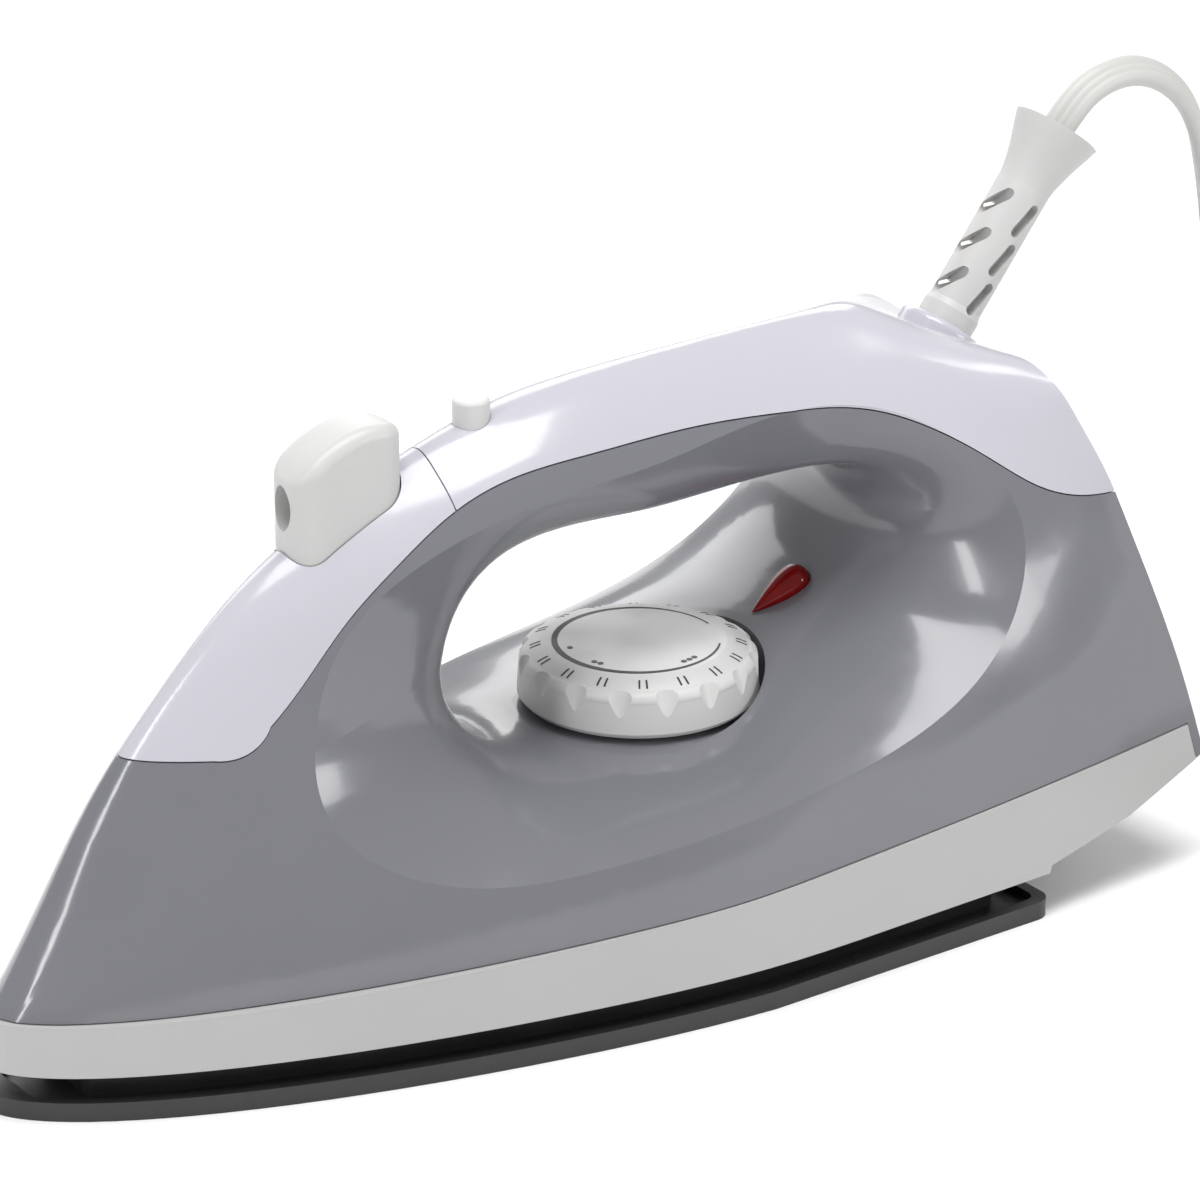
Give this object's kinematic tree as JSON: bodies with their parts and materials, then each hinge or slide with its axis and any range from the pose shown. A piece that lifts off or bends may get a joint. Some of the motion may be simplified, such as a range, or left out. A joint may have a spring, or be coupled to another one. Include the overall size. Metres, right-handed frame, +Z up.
{
  "type": "clothes_iron",
  "caption": "Light household clothes iron with a spray nozzle, thermostat dial, open grip and a flat flexible mains cord.",
  "frame": {"origin": "under the middle of the iron on the surface it stands on", "axes": "+X towards the heel, +Y across to the far side, +Z up"},
  "size_m": [0.4184, 0.1482, 0.1621],
  "materials": {
    "nonstick_black": "satin",
    "plated_steel": "satin",
    "sheet_aluminium": "satin",
    "element_steel": "satin",
    "skirt_plastic": "satin",
    "grey_plastic": "gloss",
    "cover_plastic": "gloss",
    "white_rubber": "satin",
    "cord_vinyl": "satin",
    "tie_plastic": "satin",
    "brass_plated": "satin",
    "dial_plastic": "satin",
    "head_plastic": "satin",
    "print_ink": "matte",
    "steatite": "satin",
    "copper_strip": "satin",
    "tank_plastic": "gloss",
    "silicone": "satin",
    "black_rubber": "matte",
    "red_lens": "gloss",
    "lamp_glass": "gloss",
    "wire_sleeve": "satin"
  },
  "bodies": {
    "root": {"soleplate": "nonstick_black", "sole_studs": "plated_steel", "shield_spacers": "plated_steel", "stud_nuts": "plated_steel", "sole_cover": "sheet_aluminium", "heating_element": "element_steel", "heat_shield": "plated_steel", "skirt": "skirt_plastic", "skirt_screws": "plated_steel", "heel_plate": "grey_plastic", "heel_screw": "plated_steel", "body_shell": "grey_plastic", "front_cover": "cover_plastic", "handle_cover": "cover_plastic", "cord_guard": "white_rubber", "cord": "cord_vinyl", "cord_coil": "cord_vinyl", "cord_tie": "tie_plastic", "cord_tail": "cord_vinyl", "plug_body": "white_rubber", "plug_blades": "brass_plated", "dial_bush": "tie_plastic", "thermostat_bracket": "plated_steel", "thermostat_base": "steatite", "contact_blades": "copper_strip", "bimetal_strip": "copper_strip", "water_tank": "tank_plastic", "filler_neck": "tank_plastic", "pump_body": "tank_plastic", "pump_inlet_tube": "silicone", "nozzle_tube": "silicone", "button_spring": "plated_steel", "pilot_lens": "red_lens", "neon_lamp": "lamp_glass", "lamp_resistor": "steatite", "thermal_fuse": "sheet_aluminium", "terminal_block": "tie_plastic", "terminal_screws": "plated_steel", "lead_wires": "wire_sleeve", "cord_clamp": "tie_plastic", "clamp_screws": "plated_steel", "inner_cord": "cord_vinyl"},
    "dial": {"dial_knob": "dial_plastic", "dial_ring": "print_ink", "dial_marks": "print_ink", "dial_shaft": "brass_plated", "dial_clip": "plated_steel"},
    "button": {"spray_button": "dial_plastic", "pump_piston": "tie_plastic", "piston_seal": "black_rubber"},
    "spray_cap": {"spray_head": "head_plastic", "nozzle_insert": "tie_plastic", "head_seal": "black_rubber"}
  },
  "joints": [
    {"name": "dial_turn", "type": "hinge", "parent": "root", "child": "dial", "pos_m": [0.02187, 0, 0.0488], "axis": [0, 0, 1], "range_deg": [-300, 0]},
    {"name": "button_press", "type": "slide", "parent": "root", "child": "button", "axis": [0, 0, -1], "range_m": [0, 0.0035], "stiffness_N_per_m": 400, "springref_m": -0.001, "deforming": ["button_spring"]},
    {"name": "cap_lift", "type": "slide", "parent": "root", "child": "spray_cap", "axis": [0, 0, 1], "range_m": [0, 0.035]}
  ]
}
